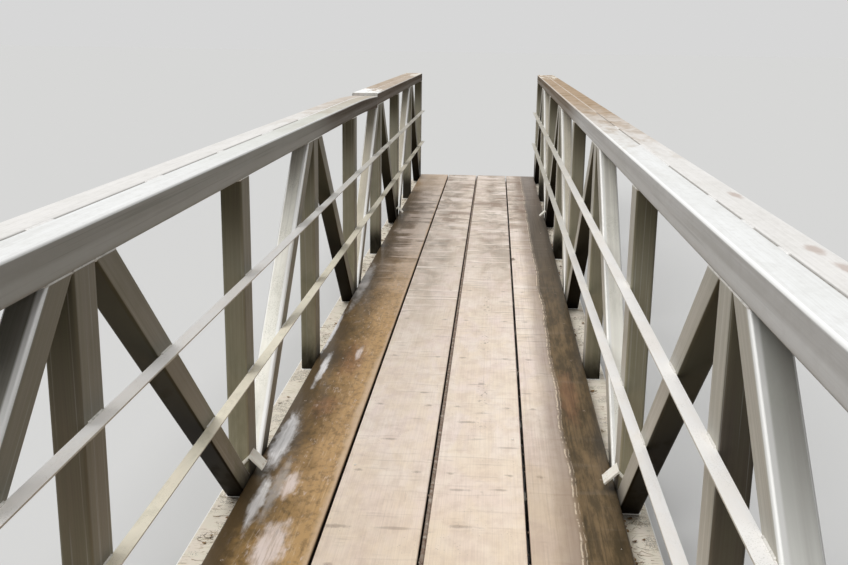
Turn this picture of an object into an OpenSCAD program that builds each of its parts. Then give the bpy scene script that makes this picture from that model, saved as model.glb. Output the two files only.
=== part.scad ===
// Trussed footbridge: two welded aluminium side trusses that are also its handrails,
// joined by floor beams under a deck of four long timber planks.
// +Y runs along the bridge, +X is its right side, +Z is up, and the origin is at the
// middle of the ground plane under it.

/* [Truss] */
// Whole panels from end post to end post
panels = 8; // [4:2:10]
// Distance between the middles of two neighbouring posts
panel_l = 1219; // [900:1:1500]
// Clear width between the inner faces of the two trusses
clear_w = 1150; // [900:1:1600]
// Height of the handrail chord's top above the walking surface
rail_h = 1016; // [800:1:1250]
// Radius of the tubes' outer corners
corner_r = 8; // [4:1:12]
// Wall of the posts and diagonals
web_wall = 5; // [3:0.5:8]

/* [Top chord] */
// Width of each of the two tubes that lie side by side
top_tube_w = 81; // [70:1:100]
// Depth of the top chord
top_tube_h = 76; // [60:1:100]
// Wall of the chord tubes
chord_wall = 6; // [4:0.5:9]
// How far before the head of the next diagonal the left chord's joint lies
joint_back = 41; // [5:1:120]
// How far the near length has dropped at the joint
sag = 18; // [6:1:30]
// Open gap between the two lengths
joint_gap = 2; // [0.5:0.5:5]

/* [Bottom chord] */
// Width of the bottom chord
bottom_tube_w = 96; // [85:1:130]
// Depth of the bottom chord
bottom_tube_h = 102; // [80:1:150]

/* [Posts and diagonals] */
// Post across the bridge
post_w = 66; // [50:1:80]
// Post along the bridge
post_l = 102; // [70:1:120]
// Diagonal across the bridge
diagonal_w = 66; // [50:1:80]
// Diagonal in the plane of the truss
diagonal_d = 76; // [50:1:90]
// Height above the bottom chord at which the upper face of a falling diagonal meets its post
toe_rise = 65; // [30:1:100]

/* [Rub rails] */
// Width of both legs of the rub rail angles
rail_leg = 32; // [25:1:50]
// Thickness of the rub rail angles
rail_t = 4; // [3:0.5:8]
// Top of the upper rub rail above the walking surface
upper_rail_z = 648; // [560:1:760]
// Top of the lower rub rail above the walking surface
lower_rail_z = 341; // [200:1:480]

/* [Deck] */
// Number of planks across the deck
plank_count = 4; // [3:1:6]
// Gap between two planks
plank_gap = 10; // [4:1:14]
// Wider gap at the middle of the deck, where the planks have shrunk apart
middle_gap = 18; // [10:1:24]
// Thickness of the planks
plank_t = 51; // [38:1:76]
// Free space between an outer plank and the truss
plank_side_gap = 1; // [0.5:0.5:4]
// How far the planks run past the end posts
plank_over = 20; // [0:5:60]
// Radius of the planks' worn top edges
plank_r = 5; // [2:1:10]

/* [Floor beams] */
// Floor beam at each post, along the bridge
beam_l = 64; // [50:1:90]
// Depth of the floor beams at the posts
beam_h = 90; // [60:1:100]
// Floor beam at the middle of each panel, along the bridge
mid_beam_l = 51; // [40:1:70]
// Depth of the middle floor beams
mid_beam_h = 64; // [45:1:80]
// Wall of the floor beams
beam_wall = 4; // [3:0.5:6]

/* [Bearings] */
// Thickness of the bearing plates
bearing_t = 12; // [8:1:20]
// Length of a bearing plate along the bridge
bearing_l = 230; // [180:1:300]
// How far a bearing plate stands out beside the bottom chord
bearing_out = 70; // [55:1:90]
// Distance between a bearing's two anchor holes
anchor_spacing = 160; // [100:1:180]
// Diameter of the anchor holes
anchor_d = 22; // [14:1:26]

/* [Corner angles] */
// Width of a corner angle's inner leg, which slopes down over the deck
angle_in_leg = 62; // [40:1:70]
// Width of a corner angle's outer leg
angle_out_leg = 36; // [20:1:40]
// Thickness of the corner angles
angle_t = 6; // [4:0.5:8]
// Length of a corner angle
angle_l = 65; // [40:1:75]
// Height of a corner angle's lowest edge above the walking surface
angle_rise = 25; // [10:1:50]

/* [Hidden] */
aluminium = [0.66, 0.66, 0.64];
weathered = [0.52, 0.52, 0.47];
timber = [0.60, 0.50, 0.41];
$fn = 32;

in_x = clear_w / 2;
truss_l = panels * panel_l + post_l;
end_y = truss_l / 2;
bottom_z = bearing_t;
beam_top_z = bottom_z + bottom_tube_h;
deck_z = beam_top_z + plank_t;
top_z = deck_z + rail_h;
web_top_z = top_z - top_tube_h;
web_h = web_top_z - beam_top_z;
clear_l = panel_l - post_l;
corner_reach = sqrt(clear_l * clear_l + web_h * web_h);
foot_l = diagonal_d / cos(lean(web_h));
// The left chord's joint is three panels before the far end. Its near length is straight
// up to the post before that, and bends down from there.
joint_post = panels - 3;
joint_y = post_y(joint_post) - post_l / 2 - foot_l - joint_back;
bend_y = post_y(joint_post - 1) + post_l / 2;
sag_l = joint_y - bend_y;
sag_angle = 2 * atan(sag / sag_l);
sag_r = sag_l / sin(sag_angle);
planks_w = clear_w - 2 * plank_side_gap - (plank_count - 2) * plank_gap - middle_gap;
plank_w = planks_w / plank_count;
plank_l = truss_l + 2 * plank_over;
bearing_w = bottom_tube_w + bearing_out;

SIDES = ["left", "right"];
NODES = concat(
    ["left_top_chord_near", "left_top_chord_far", "right_top_chord"],
    [for (s = SIDES) str(s, "_bottom_chord")],
    [for (s = SIDES, i = [0:panels]) str(s, "_post_", i)],
    [for (s = SIDES, i = [1:panels]) str(s, "_diagonal_", i)],
    [for (s = SIDES, n = ["upper", "lower"]) str(s, "_", n, "_rub_rail")],
    [for (i = [1:plank_count]) str("deck_plank_", i)],
    ["post_floor_beams", "middle_floor_beams"],
    [for (s = SIDES) str(s, "_bearing_plates")],
    [for (s = SIDES) str(s, "_corner_angles")]
);
node = "all";

function post_y(i) = (i - panels / 2) * panel_l;
// Lean from the vertical of a diagonal that just fills a panel of height h from corner to corner
function lean(h) = acos(diagonal_d / sqrt(clear_l * clear_l + h * h)) - atan2(h, clear_l);
function shown(name) = node == "all" || node == name;

// Rectangle with rounded corners, its lower left corner at the origin
module rounded(w, h, r) {
    translate([r, 0]) square([w - 2 * r, h]);
    translate([0, r]) square([w, h - 2 * r]);
    for (x = [r, w - r], y = [r, h - r]) translate([x, y]) circle(r);
}

// The children's outline, drawn in X and Z, made solid from y0 to y1
module along_y(y0, y1) {
    translate([0, y1, 0]) rotate([90, 0, 0]) linear_extrude(y1 - y0) children();
}

// Everything is drawn for the right side, and turned over for the left one
module on_side(side) {
    if (side == "left") mirror([1, 0, 0]) children();
    else children();
}

// Hollow rectangular tube along Y with closed ends
module closed_tube_y(w, h, wall, y0, y1) {
    difference() {
        along_y(y0, y1) rounded(w, h, corner_r);
        along_y(y0 + wall, y1 - wall) bore(w, h, wall);
    }
}

// Inside outline of a tube
module bore(w, h, wall) {
    translate([wall, wall]) rounded(w - 2 * wall, h - 2 * wall, corner_r - wall / 2);
}

// Two tubes side by side, welded into one chord
module top_chord_tubes(y0, y1) {
    for (x = [0, top_tube_w])
        translate([in_x + x, 0, web_top_z])
            closed_tube_y(top_tube_w, top_tube_h, chord_wall, y0, y1);
}

// Bent stretch of a tube, along an arc that starts level at bend_y
module sag_arc(angle) {
    translate([in_x, bend_y, top_z - sag_r]) mirror([1, 0, 0]) rotate([0, -90, 0])
        rotate_extrude(angle = angle, $fn = 1800) translate([sag_r - top_tube_h, 0]) children();
}

// The left chord's near length, which sags towards its joint
module left_top_chord_near() {
    color(aluminium) on_side("left") for (x = [0, top_tube_w]) translate([x, 0, 0]) difference() {
        union() {
            translate([in_x, 0, web_top_z]) along_y(-end_y, bend_y)
                rounded(top_tube_w, top_tube_h, corner_r);
            sag_arc(sag_angle) rounded(top_tube_h, top_tube_w, corner_r);
        }
        translate([in_x, 0, web_top_z]) along_y(-end_y + chord_wall, bend_y)
            bore(top_tube_w, top_tube_h, chord_wall);
        sag_arc(sag_angle * (1 - chord_wall / sag_l)) bore(top_tube_h, top_tube_w, chord_wall);
    }
}

module left_top_chord_far() {
    color(aluminium) on_side("left") top_chord_tubes(joint_y + joint_gap, end_y);
}

module right_top_chord() {
    color(aluminium) top_chord_tubes(-end_y, end_y);
}

module bottom_chord(side) {
    color(weathered) on_side(side) translate([in_x, 0, bottom_z])
        closed_tube_y(bottom_tube_w, bottom_tube_h, chord_wall, -end_y, end_y);
}

module post(side, i) {
    color(aluminium) on_side(side)
        translate([in_x, post_y(i) - post_l / 2, beam_top_z])
            linear_extrude(web_h) difference() {
                rounded(post_w, post_l, corner_r);
                bore(post_w, post_l, web_wall);
            }
}

// Diagonal of panel i, from the foot of one post to the head of the next, cut level at both ends.
// One that falls along the bridge also lands on its post, and is cut upright there.
module diagonal(side, i) {
    rises = i % 2 == 1;
    foot_y = rises ? post_y(i - 1) + post_l / 2 : post_y(i) - post_l / 2;
    toe = rises ? 0 : toe_rise;
    turn = rises ? 0 : 1;
    cut_y = rises ? -1 : 0;
    color(aluminium) on_side(side) translate([in_x, foot_y, beam_top_z])
        mirror([0, turn, 0]) intersection() {
            translate([0, 0, toe]) rotate([-lean(web_h - toe), 0, 0])
                linear_extrude(3 * corner_reach, center = true) difference() {
                    rounded(diagonal_w, diagonal_d, corner_r);
                    bore(diagonal_w, diagonal_d, web_wall);
                }
            translate([-1, cut_y, 0]) cube([diagonal_w + 2, clear_l + 2, web_h]);
        }
}

// Angle with its flat leg on top, standing into the walkway, and its other leg on the posts
module rub_rail(side, z) {
    color(aluminium) on_side(side) along_y(-end_y, end_y)
        translate([in_x - rail_leg, deck_z + z - rail_leg]) {
            translate([0, rail_leg - rail_t]) square([rail_leg, rail_t]);
            translate([rail_leg - rail_t, 0]) square([rail_t, rail_leg]);
        }
}

module deck_plank(i) {
    opened = i > plank_count / 2 ? middle_gap - plank_gap : 0;
    x = -in_x + plank_side_gap + (i - 1) * (plank_w + plank_gap) + opened;
    color(timber) along_y(-plank_l / 2, plank_l / 2) translate([x, beam_top_z]) {
        square([plank_w, plank_t - plank_r]);
        translate([plank_r, 0]) square([plank_w - 2 * plank_r, plank_t]);
        for (rx = [plank_r, plank_w - plank_r]) translate([rx, plank_t - plank_r]) circle(plank_r);
    }
}

// Hollow beam from truss to truss, flush with the top of the bottom chords
module floor_beam(y, l, h) {
    translate([-in_x, y - l / 2, beam_top_z - h]) rotate([90, 0, 90]) linear_extrude(clear_w)
        difference() {
            square([l, h]);
            translate([beam_wall, beam_wall]) square([l - 2 * beam_wall, h - 2 * beam_wall]);
        }
}

module post_floor_beams() {
    color(weathered) for (i = [0:panels]) floor_beam(post_y(i), beam_l, beam_h);
}

module middle_floor_beams() {
    color(weathered) for (i = [1:panels]) floor_beam(post_y(i) - panel_l / 2, mid_beam_l, mid_beam_h);
}

// Foot plate under each end of a bottom chord, with its anchor holes beside the chord
module bearing_plates(side) {
    hole_x = in_x + bottom_tube_w + bearing_out / 2;
    color(weathered) on_side(side) for (end = [-1, 1])
        difference() {
            translate([in_x, end * post_y(panels) - bearing_l / 2, 0])
                cube([bearing_w, bearing_l, bearing_t]);
            for (s = [-1, 1])
                translate([hole_x, end * post_y(panels) + s * anchor_spacing / 2, -1])
                    cylinder(d = anchor_d, h = bearing_t + 2);
        }
}

// Short angles, ridge up, fitted over the inner near corner of the third post from either end.
// The outer leg is notched for the post, so that only a tab of it stays before the post's face.
module corner_angles(side) {
    ridge_z = deck_z + angle_rise + (angle_in_leg + angle_t) * sin(45);
    color(aluminium) on_side(side) for (i = [2, panels - 2]) {
        face_y = post_y(i) - post_l / 2;
        difference() {
            along_y(face_y - angle_t, face_y - angle_t + angle_l)
                translate([in_x, ridge_z]) rotate(225) {
                    square([angle_in_leg, angle_t]);
                    square([angle_t, angle_out_leg]);
                }
            translate([in_x, face_y, beam_top_z]) cube([post_w, post_l, web_h]);
        }
    }
}

if (shown("left_top_chord_near")) left_top_chord_near();
if (shown("left_top_chord_far")) left_top_chord_far();
if (shown("right_top_chord")) right_top_chord();
if (shown("post_floor_beams")) post_floor_beams();
if (shown("middle_floor_beams")) middle_floor_beams();
for (i = [1:plank_count]) if (shown(str("deck_plank_", i))) deck_plank(i);
for (s = SIDES) {
    if (shown(str(s, "_bottom_chord"))) bottom_chord(s);
    if (shown(str(s, "_upper_rub_rail"))) rub_rail(s, upper_rail_z);
    if (shown(str(s, "_lower_rub_rail"))) rub_rail(s, lower_rail_z);
    if (shown(str(s, "_bearing_plates"))) bearing_plates(s);
    if (shown(str(s, "_corner_angles"))) corner_angles(s);
    for (i = [0:panels]) if (shown(str(s, "_post_", i))) post(s, i);
    for (i = [1:panels]) if (shown(str(s, "_diagonal_", i))) diagonal(s, i);
}
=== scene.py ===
"""Trussed footbridge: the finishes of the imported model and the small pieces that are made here."""

import math
import random
from functools import reduce

import bmesh
import bpy
from bpy.props import FloatProperty, FloatVectorProperty, IntProperty, PointerProperty
from mathutils import Matrix, Vector, noise


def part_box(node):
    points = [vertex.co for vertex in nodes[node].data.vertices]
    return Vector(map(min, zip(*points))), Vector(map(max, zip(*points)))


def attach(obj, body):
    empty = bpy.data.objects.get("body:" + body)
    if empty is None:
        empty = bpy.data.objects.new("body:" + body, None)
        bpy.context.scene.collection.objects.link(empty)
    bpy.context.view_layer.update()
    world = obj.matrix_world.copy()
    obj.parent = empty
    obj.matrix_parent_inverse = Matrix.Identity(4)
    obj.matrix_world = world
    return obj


bl_info = {
    "name": "Trussed Footbridge",
    "version": (1, 0, 0),
    "blender": (4, 5, 0),
    "location": "View3D > Sidebar > Footbridge",
    "description": "Finishes, welds, fasteners and litter of an aluminium footbridge with a timber deck",
    "category": "Object",
}

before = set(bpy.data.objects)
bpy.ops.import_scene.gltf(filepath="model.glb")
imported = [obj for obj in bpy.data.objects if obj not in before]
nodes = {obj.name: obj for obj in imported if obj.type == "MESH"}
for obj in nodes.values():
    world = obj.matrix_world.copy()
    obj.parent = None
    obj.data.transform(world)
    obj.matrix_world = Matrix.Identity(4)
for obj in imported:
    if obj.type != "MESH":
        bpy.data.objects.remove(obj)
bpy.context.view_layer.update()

SIDES = {"left": -1, "right": 1}
LEVELS = ("upper", "lower")
PANELS = sum(name.startswith("right_diagonal_") for name in nodes)
PLANKS = sum(name.startswith("deck_plank_") for name in nodes)
BODY = "root"


def low(name):
    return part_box(name)[0]


def high(name):
    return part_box(name)[1]


# Places read from the frame, in metres
IN_X = low("right_post_0").x
POST_W = high("right_post_0").x - IN_X
POST_L = high("right_post_0").y - low("right_post_0").y
CHORD_TOP = high("right_top_chord").z
WEB_TOP = high("right_post_0").z
BEAM_TOP = low("right_post_0").z
CHORD_OUT = high("right_top_chord").x
SEAM_X = (IN_X + CHORD_OUT) / 2
END_Y = high("right_top_chord").y
JOINT_Y = low("left_top_chord_far").y
NEAR_LENGTH_END = high("left_top_chord_near").y
BOTTOM_OUT = high("right_bottom_chord").x
DECK_Z = high("deck_plank_1").z
POST_Y = [(low(f"right_post_{i}").y + high(f"right_post_{i}").y) / 2 for i in range(PANELS + 1)]
PLANK_X = [(low(f"deck_plank_{p}").x, high(f"deck_plank_{p}").x) for p in range(1, PLANKS + 1)]
PANEL_L = POST_Y[1] - POST_Y[0]
WEB_H = WEB_TOP - BEAM_TOP
CLEAR_L = PANEL_L - POST_L
ANGLE_TOP = high("right_corner_angles").z

# Sizes that a box does not tell, in metres
DIAGONAL_D = 0.076
CORNER_R = 0.008
TOE_RISE = 0.065
SAG = 0.018

# Screws: how far they stand from a plank's edge, and past a floor beam's centre line, in metres
SCREW_INSET = 0.045
SCREW_PAST = 0.038


def lean_in(height):
    """How far from upright a diagonal leans that rises by height between two posts, corner to corner."""
    return math.acos(DIAGONAL_D / math.hypot(CLEAR_L, height)) - math.atan2(height, CLEAR_L)


RISING_LEAN = lean_in(WEB_H)
FALLING_LEAN = lean_in(WEB_H - TOE_RISE)
RISING_SPAN = DIAGONAL_D / math.cos(RISING_LEAN)
FALLING_SPAN = DIAGONAL_D / math.cos(FALLING_LEAN)
TOE_L = FALLING_SPAN - TOE_RISE * math.tan(FALLING_LEAN)

SAG_FROM = POST_Y[PANELS - 4] + POST_L / 2
SAG_RADIUS = ((NEAR_LENGTH_END - SAG_FROM) ** 2 + SAG**2) / (2 * SAG)


def tone(red, green, blue):
    """A colour as it is seen on a screen, 0 to 255, turned into the linear values that a shader takes."""
    return tuple(
        c / 12.92 if c <= 0.04045 else ((c + 0.055) / 1.055) ** 2.4
        for c in (red / 255, green / 255, blue / 255)
    )


def tint(name, description, default):
    return FloatVectorProperty(
        name=name, description=description, subtype="COLOR", size=3, min=0, max=1, default=default
    )


def length(name, description, default):
    return FloatProperty(
        name=name, description=description, default=default, min=0, max=1, unit="LENGTH", precision=4
    )


def amount(name, description, default):
    return IntProperty(name=name, description=description, default=default, min=0)


class FootbridgeSizes(bpy.types.PropertyGroup):
    """Sizes of the small pieces."""

    bead_r: length("Weld bead", "Radius of the weld beads at posts and diagonals", 0.005)
    rail_bead_r: length("Rail weld", "Radius of the welds that hold the rub rails", 0.004)
    ripple: length("Weld ripple", "Distance between two ripples of a weld", 0.0045)
    rail_weld_l: length("Rail weld length", "Length of a weld between a rail and a member", 0.07)
    seam_w: length("Seam weld", "Width of the welds in the handrail chords' seam", 0.013)
    seam_h: length("Seam weld depth", "Depth of the welds in the handrail chords' seam", 0.006)
    screw_r: length("Screw head", "Radius of the deck screws' heads", 0.0055)
    needle_l: length("Needle", "Length of the fallen needles and stems", 0.05)
    leaf_l: length("Leaf", "Length of the fallen leaves", 0.026)
    pebble_r: length("Pebble", "Radius of the pebbles on the deck", 0.0045)
    needles: amount("Needles", "Fallen needles and stems on each side", 260)
    leaves: amount("Leaves", "Fallen leaves on each side", 60)
    crumbs: amount("Crumbs", "Crumbs of dirt between the planks", 420)


class FootbridgeColours(bpy.types.PropertyGroup):
    """Colours of the finishes."""

    chord: tint("Chord", "Mill finish of the handrail chords' inner tubes", tone(238, 239, 238))
    chord_outer: tint("Chord, outer tube", "Warmer finish of the outer tubes", tone(234, 232, 229))
    # Painted darker than the chords' tops, as painted shade
    chord_side: tint("Chord, side", "Duller sides of the handrail chords", tone(205, 203, 200))
    chord_grime: tint("Chord streaks", "Grey streaks along the handrail chords", tone(172, 168, 162))
    # Bright metal for scratches and pale patches, and for painted highlights along rounded edges
    highlight_and_wear: tint("Rubbed metal", "Metal that hands and rain keep bright", tone(252, 252, 250))
    stain: tint("Brown stain", "Brown stain on the chords' far parts", tone(178, 157, 134))
    stain_dark: tint("Brown stain, bands", "Wavy darker bands in the stain", tone(132, 112, 84))
    member: tint("Member, side", "Mill finish of the members' inner and outer faces", tone(205, 200, 189))
    member_end: tint("Member, end-on", "Olive film on the faces along the bridge", tone(168, 162, 142))
    # Cream of the corner angles and of pale patches. On the members' upper faces it is painted light,
    # lighter than their sides
    pale_and_lit: tint("Member, upper", "Rain-washed upper faces of the diagonals", tone(248, 246, 236))
    # Painted shade on the faces that look down
    shaded_underside: tint("Member, underside", "Dirty undersides of the diagonals", tone(88, 83, 66))
    algae: tint("Film", "Green-grey film on shaded metal", tone(130, 130, 104))
    # Dirt, and also painted shade: at the members' feet, in the chords' seam groove and on the chords' faces
    # that look down
    dirt_and_shade: tint("Grime", "Dark dirt in corners and at the members' feet", tone(52, 45, 34))
    # Given to the rails' upward faces only, lighter than their sides as painted light
    rail: tint("Rail", "Rubbed metal of the rub rails", tone(254, 252, 249))
    rail_low: tint("Lower left rail", "Creamier rub rail low down on the left", tone(252, 245, 224))
    bottom: tint("Bottom chord", "Pale, gritty top of the bottom chords", tone(236, 228, 210))
    bottom_stain: tint("Bottom chord stain", "Yellow-brown stain beside the planks", tone(160, 136, 92))
    timber: tint("Dry timber", "Sun-bleached planks", tone(246, 233, 220))
    timber_pink: tint("Dry timber, pink", "Pinkish patches", tone(241, 224, 215))
    timber_gold: tint("Dry timber, yellow", "Yellowish patches", tone(242, 225, 201))
    timber_grey: tint("Dry timber, grey", "Weathered grey patches", tone(180, 169, 157))
    # Also the painted shade on the cross ridges' near side
    timber_dark: tint("Timber marks", "Dark lines and smudges in the planks", tone(128, 108, 94))
    wet_gold: tint("Wet timber", "Golden soaked timber", tone(200, 163, 116))
    wet_olive: tint("Wet timber, olive", "Olive soaked timber", tone(146, 116, 74))
    wet_red: tint("Wet timber, red", "Reddish soaked timber", tone(148, 104, 76))
    wet_dark: tint("Wet timber, dark", "Soaked and dirty edges of the planks", tone(76, 62, 42))
    damp: tint("Damp timber", "Damp far part of the left plank", tone(118, 101, 85))
    damp_dark: tint("Damp timber, dark", "Damp dark part of the right plank", tone(92, 82, 70))
    # Painted reflection: the pale sheen of thin puddles
    water_sheen: tint("Water film", "Thin film of standing water", tone(234, 231, 230))
    weld: tint("Weld", "Bare weld metal", tone(236, 233, 226))
    screw: tint("Screw", "Tarnished screw heads", tone(176, 160, 144))
    pebble: tint("Pebble", "Pale pebbles and chips", tone(246, 240, 232))
    litter: tint("Litter", "Dry needles, stems and leaves", tone(150, 120, 82))
    litter_dark: tint("Dark litter", "Rotten needles, stems and leaves", tone(96, 74, 52))
    packed_dirt: tint("Packed dirt", "Dirt between the planks", tone(142, 130, 118))
    floor: tint("Floor", "Studio floor", tone(204, 204, 203))


# Tones of details, beside the colours that a user would change
WORN_TOP = tone(208, 209, 200)
SMUDGE_BROWN = tone(150, 112, 88)
FILM_LOW_DOWN = tone(200, 190, 158)
FILM_FAR = tone(202, 198, 180)
# Painted shade under the chord, high on the members' end-on faces
SHADE_UNDER_CHORD = tone(116, 110, 93)
# Painted shade low on the members' downward faces
UNDERSIDE_SHADE = tone(34, 27, 15)
# Painted shade, nearly black, at the members' feet
FOOT_SHADE = tone(14, 10, 7)
SEAM_STAIN = tone(196, 178, 158)
SEAM_DIRT = tone(150, 145, 138)
TIMBER_NEAR = tone(232, 208, 176)
TIMBER_NEAR_EDGE = tone(160, 136, 112)
TIMBER_MOTTLE = tone(206, 184, 166)
TIMBER_UNDERSIDE = tone(124, 104, 82)
# Painted highlight on the cross ridges' crests
RIDGE_HIGHLIGHT = tone(252, 242, 232)
BAND_PALE, BAND_DARK = tone(246, 234, 226), tone(138, 116, 100)
END_GRAIN_PALE, END_GRAIN_DARK = tone(176, 150, 118), tone(112, 90, 66)
DEEP_SHADE = tone(24, 18, 13)
WET_NEAR = tone(196, 158, 100)
# Pale patches: partly painted sheen, partly pale fibres
PALE_AND_SHEEN = tone(248, 232, 224)
DAMP_INSIDE, DAMP_BAND = tone(214, 197, 182), tone(206, 190, 178)
SOAKED_DARK, SOAKED_PALE = tone(80, 67, 46), tone(142, 118, 86)


# Shader building


class Field:
    """One output of a shader node. Sums, differences, products and quotients of fields add Math nodes."""

    def __init__(self, socket):
        self.socket = socket
        self.tree = socket.id_data

    def __add__(self, other):
        return maths("ADD", self, other)

    def __sub__(self, other):
        return maths("SUBTRACT", self, other)

    def __rsub__(self, other):
        return maths("SUBTRACT", other, self)

    def __mul__(self, other):
        return maths("MULTIPLY", self, other)

    def __truediv__(self, other):
        return maths("DIVIDE", self, other)

    def __abs__(self):
        return maths("ABSOLUTE", self)

    __radd__ = __add__
    __rmul__ = __mul__


def fields(item):
    """A node's outputs, found by number or by name."""
    found = {socket.name: Field(socket) for socket in item.outputs}
    found.update(enumerate(Field(socket) for socket in item.outputs))
    return found


def feed(item, inputs):
    """Sets a node's inputs, or links those that are fields."""
    for key, value in inputs.items():
        if isinstance(value, Field):
            value.tree.links.new(value.socket, item.inputs[key])
        else:
            item.inputs[key].default_value = value


def add(kind, inputs, tree=None, **settings):
    """Adds a shader node to the tree that its inputs come from, and returns its outputs. settings are the
    node's own."""
    tree = tree or next(value.tree for value in inputs.values() if isinstance(value, Field))
    item = tree.nodes.new("ShaderNode" + kind)
    for key, value in settings.items():
        setattr(item, key, value)
    feed(item, inputs)
    return fields(item)


def maths(operation, first, second=0.0):
    return add("Math", {0: first, 1: second}, operation=operation)[0]


def largest(first, second):
    return maths("MAXIMUM", first, second)


def distance(across, along):
    return maths("SQRT", across * across + along * along)


def step(value, start, end, low_value=0.0, high_value=1.0):
    """Eases from low_value to high_value as value goes from start to end."""
    inputs = {"Value": value, "From Min": start, "From Max": end, "To Min": low_value, "To Max": high_value}
    return add("MapRange", inputs, interpolation_type="SMOOTHSTEP")[0]


def band(value, start, full, fade, end):
    """1 between full and fade, easing to 0 at start and at end."""
    return step(value, start, full) * step(value, end, fade)


def between(factor, first, second):
    """Goes from one value to another as factor goes from 0 to 1."""
    return add("Mix", {0: factor, 2: first, 3: second}, data_type="FLOAT")[0]


def blend(factor, first, second):
    """Goes from one colour to another as factor goes from 0 to 1."""
    first, second = (c if isinstance(c, Field) else (*c[:3], 1.0) for c in (first, second))
    return add("Mix", {0: factor, 6: first, 7: second}, data_type="RGBA")[2]


def coats(colour, *layers):
    """Lays coats over a colour. Each is a colour and the masks and strengths that say where it covers."""
    for cover, *masks in layers:
        colour = blend(reduce(lambda first, second: first * second, masks), colour, cover)
    return colour


def split(vector):
    return add("SeparateXYZ", {0: vector})


def joined(x, y, z):
    return add("CombineXYZ", {0: x, 1: y, 2: z})[0]


def scaled(vector, scale, turn=0.0, shift=(0, 0, 0)):
    """The vector turned about X, then stretched, so that a pattern follows a leaning tube."""
    if turn:
        vector = add("Mapping", {"Vector": vector, "Rotation": (turn, 0, 0)})[0]
    return add("Mapping", {"Vector": vector, "Scale": scale, "Location": shift})[0]


def cloud(vector, scale, detail, roughness, distortion=0.0, shift=(0, 0, 0)):
    """Noise whose scale is one number, or one number for each axis."""
    if isinstance(scale, tuple):
        vector, scale = scaled(vector, scale, 0.0, shift), 1.0
    inputs = {"Vector": vector, "Scale": scale, "Detail": detail, "Roughness": roughness}
    return add("TexNoise", {**inputs, "Distortion": distortion})[0]


def effect(name, inputs, outputs):
    """Turns a function of fields into a shader group that materials share. inputs gives the kind of each
    socket by its name. The group is built when it is first placed."""

    def new_group(build):
        group = bpy.data.node_groups.new(name, "ShaderNodeTree")
        for socket, kind in inputs.items():
            group.interface.new_socket(name=socket, in_out="INPUT", socket_type="NodeSocket" + kind)
        for socket in outputs:
            group.interface.new_socket(name=socket, in_out="OUTPUT", socket_type="NodeSocketFloat")
        given = fields(group.nodes.new("NodeGroupInput"))
        results = build(*(given[number] for number in range(len(inputs))))
        feed(group.nodes.new("NodeGroupOutput"), dict(enumerate(results)))
        return group

    def shared(build):
        built = []

        def place(*values):
            if not built:
                built.append(new_group(build))
            item = values[0].tree.nodes.new("ShaderNodeGroup")
            item.node_tree = built[0]
            feed(item, dict(enumerate(values)))
            given = [fields(item)[number] for number in range(len(outputs))]
            return given if len(given) > 1 else given[0]

        return place

    return shared


@effect("Drawn streaks", {"Along Y": "Vector"}, ("Broad", "Fine", "Scratch", "Height"))
def drawn_streaks(along):
    """Fine lines that drawing leaves along a tube, with broader cloudy bands."""
    fine = cloud(along, (300, 2.2, 300), 3.0, 0.7)
    broad = cloud(along, (46, 0.7, 46), 4.0, 0.6)
    scratch = cloud(along, (150, 1.1, 150), 2.0, 0.5, shift=(3, 5, 7))
    return step(broad, 0.38, 0.64), step(fine, 0.36, 0.66), step(scratch, 0.6, 0.68), fine


@effect("Blotches", {"Vector": "Vector", "Scale": "Float", "Cover": "Float"}, ("Mask",))
def blotches(vector, scale, cover):
    """Soft uneven patches: a mask that covers more of the surface as Cover goes up."""
    value = cloud(vector, scale, 6.0, 0.62, 0.4)
    return (step(value - (0.78 - cover * 0.56), -0.08, 0.12),)


@effect("Specks", {"Vector": "Vector", "Scale": "Float", "Size": "Float"}, ("Mask",))
def specks(vector, scale, size):
    """Small round specks of dirt."""
    to_cell = add("TexVoronoi", {"Vector": vector, "Scale": scale, "Randomness": 1.0})["Distance"]
    where = step(cloud(vector, 9.0, 3.0, 0.5), 0.38, 0.62)
    return (step(size * where - to_cell, 0.0, 0.12),)


GRAIN_OUTPUTS = ("Hair", "Lines", "Tone", "Tone 2", "Smudge")


@effect("Plank grain", {"Vector": "Vector", "Offset": "Vector"}, GRAIN_OUTPUTS)
def plank_grain(vector, offset):
    """Weathered softwood along a plank: hairlines, a few long dark lines and broad changes of tone."""
    moved = add("VectorMath", {0: vector, 1: offset}, operation="ADD")[0]
    hair = cloud(moved, (330, 3.4, 330), 3.0, 0.65)
    long_lines = cloud(moved, (58, 0.55, 58), 2.0, 0.45, 0.25)
    broken = cloud(moved, (9, 1.6, 9), 3.0, 0.6, shift=(4, 0, 2))
    lines = step(abs(long_lines - 0.5), 0.012, 0.002) * step(broken, 0.46, 0.6)
    tone_1 = cloud(moved, (5.5, 2.6, 5), 4.0, 0.58, 0.5)
    tone_2 = cloud(moved, (8.5, 3.4, 8), 4.0, 0.6, 0.5, (11, 7, 3))
    smudge = cloud(moved, (7, 24, 7), 1.5, 0.5, 0.2, (2, 9, 5))
    tones = (step(tone_1, 0.4, 0.62), step(tone_2, 0.4, 0.62))
    return step(hair, 0.34, 0.66), lines, *tones, step(smudge, 0.66, 0.80)


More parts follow.
